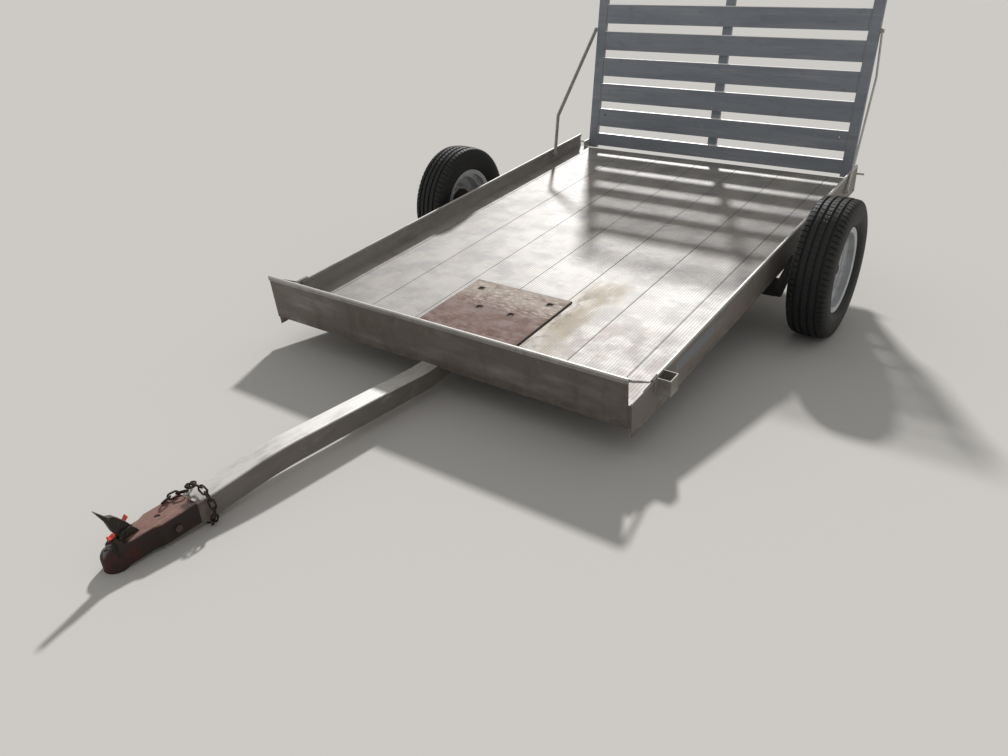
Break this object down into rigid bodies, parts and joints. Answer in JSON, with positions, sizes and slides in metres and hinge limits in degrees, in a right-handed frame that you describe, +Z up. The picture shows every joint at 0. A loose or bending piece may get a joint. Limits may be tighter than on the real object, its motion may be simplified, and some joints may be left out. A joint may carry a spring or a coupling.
{
  "type": "single axle aluminium utility trailer",
  "caption": "Small flatbed utility trailer of weathered aluminium with a raised slatted ramp gate, parked on its coupler nose.",
  "frame": {"origin": "on the ground under the middle of the parked trailer's bounding box", "axes": "+X to the trailer's right seen from behind, +Y to its rear, +Z up; parked nose down on the coupler"},
  "size_m": [2.16, 3.8726, 1.4594],
  "materials": {
    "deck_aluminium": "weathered mill finish, fine lengthwise ribs",
    "frame_aluminium": "weathered mill finish",
    "gate_aluminium": "weathered mill finish",
    "zinc_steel": "dull zinc plate",
    "rusty_coupler": "rusted pressed steel",
    "rusty_plate": "rusted plate, scuffed",
    "black_axle": "matte black paint",
    "wheel_paint": "satin silver paint",
    "rusty_hub": "rust",
    "tyre_rubber": "matte rubber"
  },
  "bodies": {
    "frame": {"axle_pads": "black_axle", "axle_tube": "black_axle", "corner_ties": "frame_aluminium", "coupler_body": "rusty_coupler", "coupler_bolt": "zinc_steel", "cross_members": "frame_aluminium", "deck_plank_1": "deck_aluminium", "deck_plank_2": "deck_aluminium", "deck_plank_3": "deck_aluminium", "deck_plank_4": "deck_aluminium", "deck_plank_5": "deck_aluminium", "deck_plank_6": "deck_aluminium", "deck_plank_7": "deck_aluminium", "deck_plank_8": "deck_aluminium", "front_board": "frame_aluminium", "hinge_bracket_left": "zinc_steel", "hinge_bracket_right": "zinc_steel", "hinge_pins": "zinc_steel", "latch_bracket": "rusty_coupler", "latch_lever": "rusty_coupler", "rear_sill": "frame_aluminium", "safety_chain": "rusty_coupler", "side_rail_left": "frame_aluminium", "side_rail_right": "frame_aluminium", "stake_pocket_right": "frame_aluminium", "stay_pins": "zinc_steel", "steel_plate": "rusty_plate", "tongue": "frame_aluminium", "torsion_arm_left": "black_axle", "torsion_arm_right": "black_axle"},
    "wheel_left": {"tyre_left": "tyre_rubber", "wheel_rim_left": "wheel_paint", "hub_left": "rusty_hub"},
    "wheel_right": {"tyre_right": "tyre_rubber", "wheel_rim_right": "wheel_paint", "hub_right": "rusty_hub"},
    "gate": {"gate_post_left": "gate_aluminium", "gate_post_right": "gate_aluminium", "gate_slats": "gate_aluminium", "gate_upright": "gate_aluminium"},
    "stay_left": {"stay_left": "zinc_steel", "stay_top_pin_left": "zinc_steel"},
    "stay_right": {"stay_right": "zinc_steel", "stay_top_pin_right": "zinc_steel"}
  },
  "joints": [
    {"name": "wheel_left_spin", "type": "hinge", "parent": "frame", "child": "wheel_left", "pos_m": [-0.994, 0.8021, 0.299], "axis": [1, 0, 0], "continuous": true},
    {"name": "wheel_right_spin", "type": "hinge", "parent": "frame", "child": "wheel_right", "pos_m": [0.994, 0.8021, 0.299], "axis": [1, 0, 0], "continuous": true},
    {"name": "gate_hinge", "type": "hinge", "parent": "frame", "child": "gate", "pos_m": [0, 1.85437, 0.50673], "axis": [-1, 0, 0], "range_deg": [0, 115]},
    {"name": "stay_left_swing", "type": "hinge", "parent": "frame", "child": "stay_left", "pos_m": [-0.805, 1.47123, 0.48777], "axis": [1, 0, 0], "range_deg": [0, 110]},
    {"name": "stay_right_swing", "type": "hinge", "parent": "frame", "child": "stay_right", "pos_m": [0.841, 1.59981, 0.45766], "axis": [0.9985, 0.0201, 0.0506], "range_deg": [0, 110]}
  ]
}
